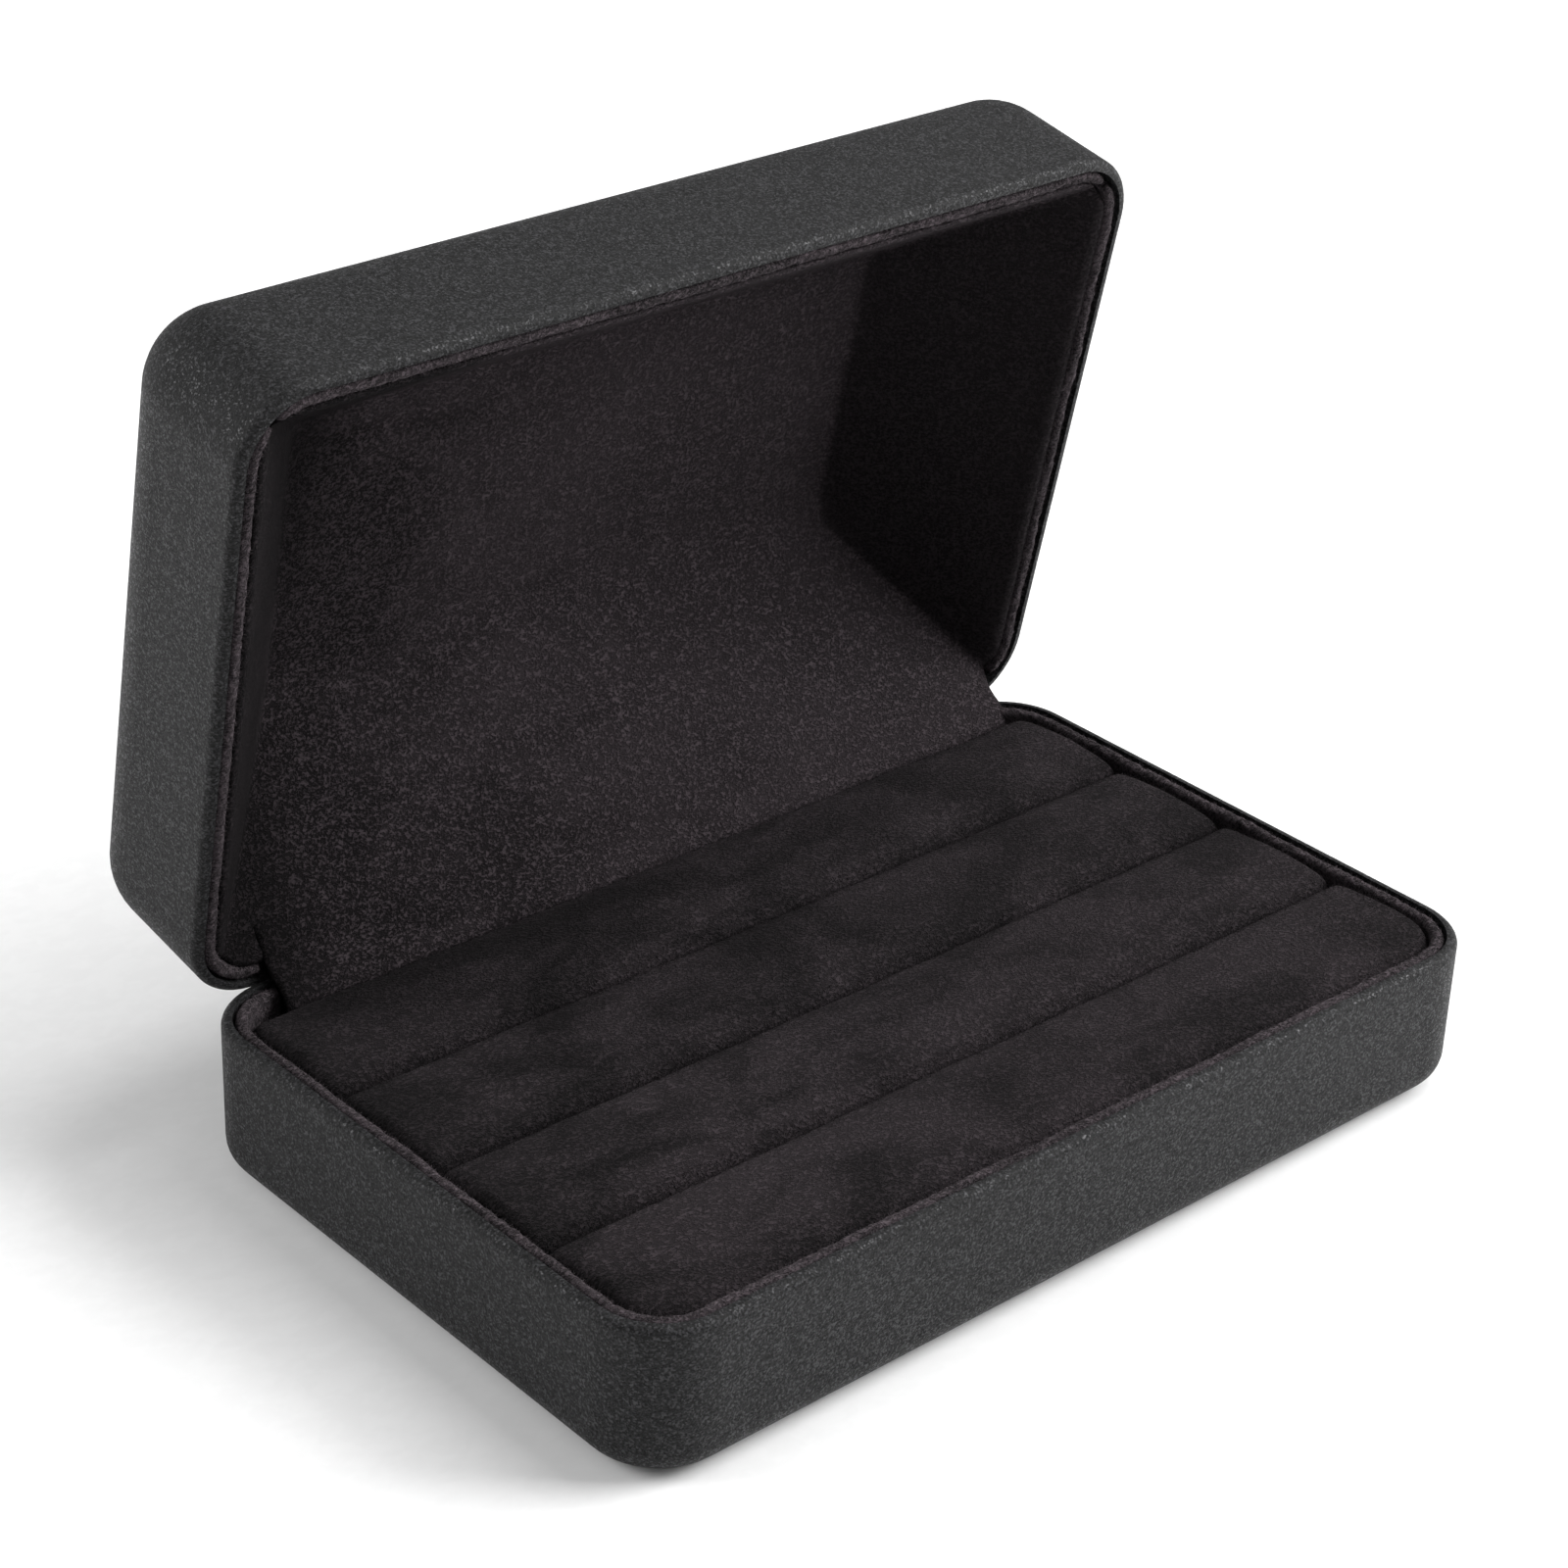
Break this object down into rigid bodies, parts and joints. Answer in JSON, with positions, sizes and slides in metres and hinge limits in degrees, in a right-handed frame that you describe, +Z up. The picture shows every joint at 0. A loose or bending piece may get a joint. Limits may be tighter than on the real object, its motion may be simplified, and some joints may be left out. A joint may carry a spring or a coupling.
{
  "type": "jewelry box",
  "caption": "Shallow oblong clamshell ring box with rounded corners: a wrapped base with a row of velvet ring rolls, and a deeper velvet-lined lid on hidden snap hinges.",
  "frame": {"origin": "middle of the box's footprint, on the surface that it stands on", "axes": "+X to the right along the hinge, +Y from the front to the hinge, +Z up"},
  "size_m": [0.19, 0.1517, 0.1489],
  "materials": {
    "moulded": "matt, moulded",
    "wrap": "embossed crepe grain, dull sheen",
    "sheet": "flocked",
    "velvet": "short-pile velvet",
    "card": "grey board",
    "foam": "open-cell foam",
    "steel": "plain zinc-plated sheet"
  },
  "bodies": {
    "base": {"base_shell": "moulded", "base_wrap": "wrap", "base_underside_sheet": "sheet", "base_rim_card": "card", "base_rim_velvet": "velvet", "insert_board": "card", "roll_foam_1": "foam", "roll_foam_2": "foam", "roll_foam_3": "foam", "roll_foam_4": "foam", "roll_velvet_1": "velvet", "roll_velvet_2": "velvet", "roll_velvet_3": "velvet", "roll_velvet_4": "velvet", "base_hinge_leaf_left": "steel", "base_hinge_leaf_right": "steel", "hinge_pin_left": "steel", "hinge_pin_right": "steel", "snap_spring_left": "steel", "snap_spring_right": "steel", "base_hinge_rivets": "steel", "hinge_cover_base": "velvet"},
    "lid": {"lid_shell": "moulded", "lid_wrap": "wrap", "lid_rim_card_front": "card", "lid_rim_card_left": "card", "lid_rim_card_right": "card", "lid_rim_velvet_front": "velvet", "lid_rim_velvet_left": "velvet", "lid_rim_velvet_right": "velvet", "lid_lining_card": "card", "lid_lining_velvet": "velvet", "lid_hinge_leaf_left": "steel", "lid_hinge_leaf_right": "steel", "lid_hinge_rivets": "steel", "hinge_cover_lid": "velvet"}
  },
  "joints": [
    {"name": "lid_hinge", "type": "hinge", "parent": "base", "child": "lid", "pos_m": [0, 0.0586, 0.02815], "axis": [1, 0, 0], "range_deg": [0, 79]}
  ]
}
